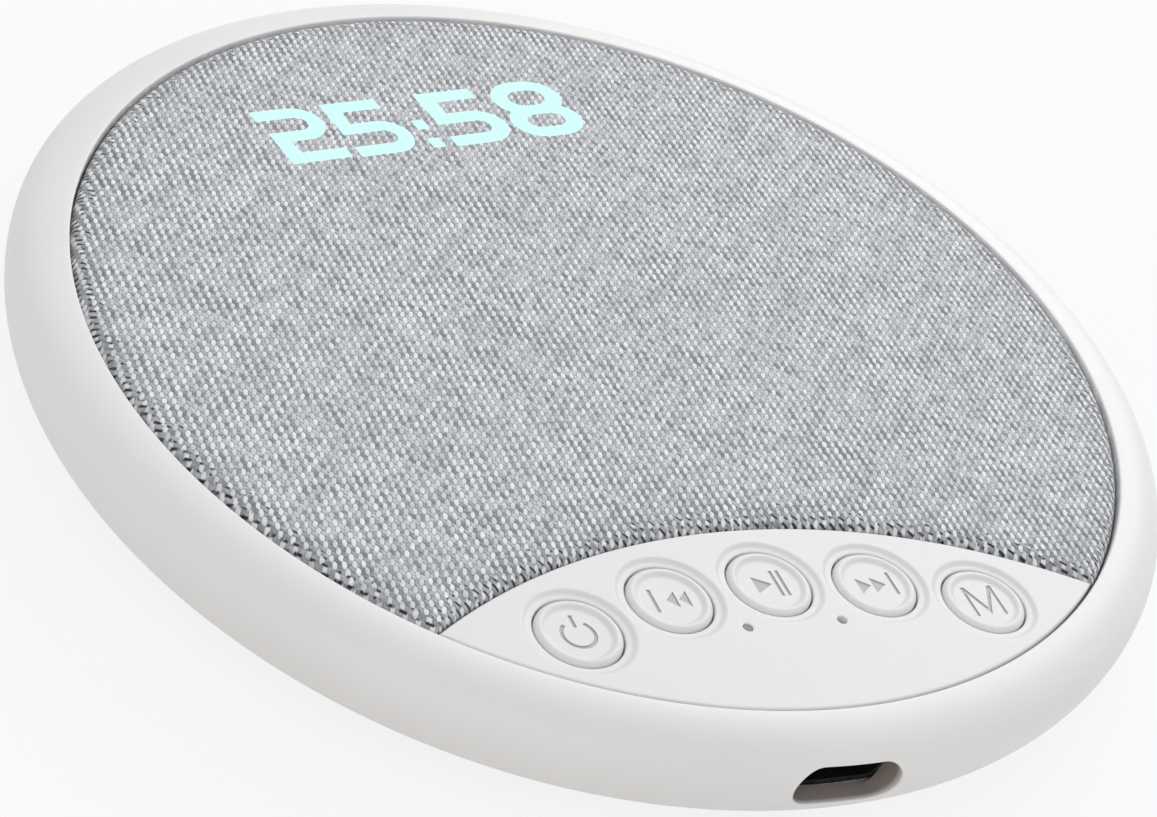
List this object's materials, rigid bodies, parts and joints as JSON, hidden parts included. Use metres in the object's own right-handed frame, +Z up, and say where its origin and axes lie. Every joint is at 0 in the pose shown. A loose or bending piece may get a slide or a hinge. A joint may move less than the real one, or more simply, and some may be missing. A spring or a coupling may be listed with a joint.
{
  "type": "pillow speaker",
  "caption": "Flat round pillow speaker with a woven cloth top, a clock lit through the cloth, push buttons on a lens-shaped panel and a charging port in the rim.",
  "frame": {"origin": "middle of the underside, on the surface that the feet rest on", "axes": "+Z up out of the cloth, -Y towards the buttons and the charging port, +X to the right"},
  "size_m": [0.11, 0.1098, 0.0116],
  "materials": {
    "shell_white": "fine moulded texture, satin",
    "panel_white": "smooth moulded, satin",
    "grille_cloth": "grey melange plain weave",
    "foot_rubber": "matte",
    "screw_steel": "plated",
    "inner_black": "matte",
    "circuit_board": "solder mask",
    "bright_metal": "plated",
    "contact_gold": "plated",
    "ceramic_tan": "fired ceramic",
    "lamp_cream": "clear resin",
    "light_guide": "clear acrylic",
    "film_white": "diffusing film",
    "ribbon_amber": "polyimide film",
    "magnet_grey": "plated",
    "coil_copper": "enamelled wire",
    "cone_paper": "treated paper",
    "surround_rubber": "matte",
    "foam_grey": "open cell foam",
    "lead_red": "insulated wire",
    "cell_wrap": "laminated foil"
  },
  "bodies": {
    "case": {"housing": "shell_white", "rear_cover": "shell_white", "foot_pads": "foot_rubber", "case_screws": "screw_steel", "front_plate": "shell_white", "grille_cloth": "grille_cloth", "control_panel": "panel_white", "switch_bases": "inner_black", "switch_covers": "bright_metal", "switch_domes": "contact_gold", "main_board": "circuit_board", "board_screws": "screw_steel", "usb_shell": "bright_metal", "usb_tongue": "inner_black", "sound_chip": "inner_black", "amplifier_chip": "inner_black", "memory_chip": "inner_black", "power_inductor": "magnet_grey", "crystal": "bright_metal", "board_capacitors": "ceramic_tan", "ribbon_socket": "film_white", "status_led": "lamp_cream", "light_pipe": "film_white", "microphone": "bright_metal", "mic_boot": "foot_rubber", "display_board": "circuit_board", "display_leds": "lamp_cream", "display_mask": "inner_black", "display_digits": "light_guide", "display_film": "film_white", "display_ribbon": "ribbon_amber", "speaker_basket": "inner_black", "speaker_yoke": "bright_metal", "speaker_magnet": "magnet_grey", "speaker_pole_plate": "bright_metal", "speaker_surround": "surround_rubber", "speaker_gasket": "foam_grey", "speaker_leads": "lead_red", "battery_cell": "cell_wrap", "battery_circuit": "circuit_board", "battery_leads": "lead_red", "battery_tape": "film_white", "battery_foam": "foam_grey"},
    "power_key": {"power_button": "panel_white", "power_plunger": "inner_black"},
    "previous_key": {"previous_button": "panel_white", "previous_plunger": "inner_black"},
    "play_key": {"play_button": "panel_white", "play_plunger": "inner_black"},
    "next_key": {"next_button": "panel_white", "next_plunger": "inner_black"},
    "mode_key": {"mode_button": "panel_white", "mode_plunger": "inner_black"},
    "cone": {"speaker_cone": "cone_paper", "dust_cap": "cone_paper", "voice_coil": "coil_copper"}
  },
  "joints": [
    {"name": "power_press", "type": "slide", "parent": "case", "child": "power_key", "axis": [0, 0, -1], "range_m": [0, 0.0003], "stiffness_N_per_m": 1500},
    {"name": "previous_press", "type": "slide", "parent": "case", "child": "previous_key", "axis": [0, 0, -1], "range_m": [0, 0.0003], "stiffness_N_per_m": 1500},
    {"name": "play_press", "type": "slide", "parent": "case", "child": "play_key", "axis": [0, 0, -1], "range_m": [0, 0.0003], "stiffness_N_per_m": 1500},
    {"name": "next_press", "type": "slide", "parent": "case", "child": "next_key", "axis": [0, 0, -1], "range_m": [0, 0.0003], "stiffness_N_per_m": 1500},
    {"name": "mode_press", "type": "slide", "parent": "case", "child": "mode_key", "axis": [0, 0, -1], "range_m": [0, 0.0003], "stiffness_N_per_m": 1500},
    {"name": "cone_travel", "type": "slide", "parent": "case", "child": "cone", "axis": [0, 0, 1], "range_m": [-0.0004, 0.0004], "stiffness_N_per_m": 1500, "deforming": ["speaker_surround"]}
  ]
}
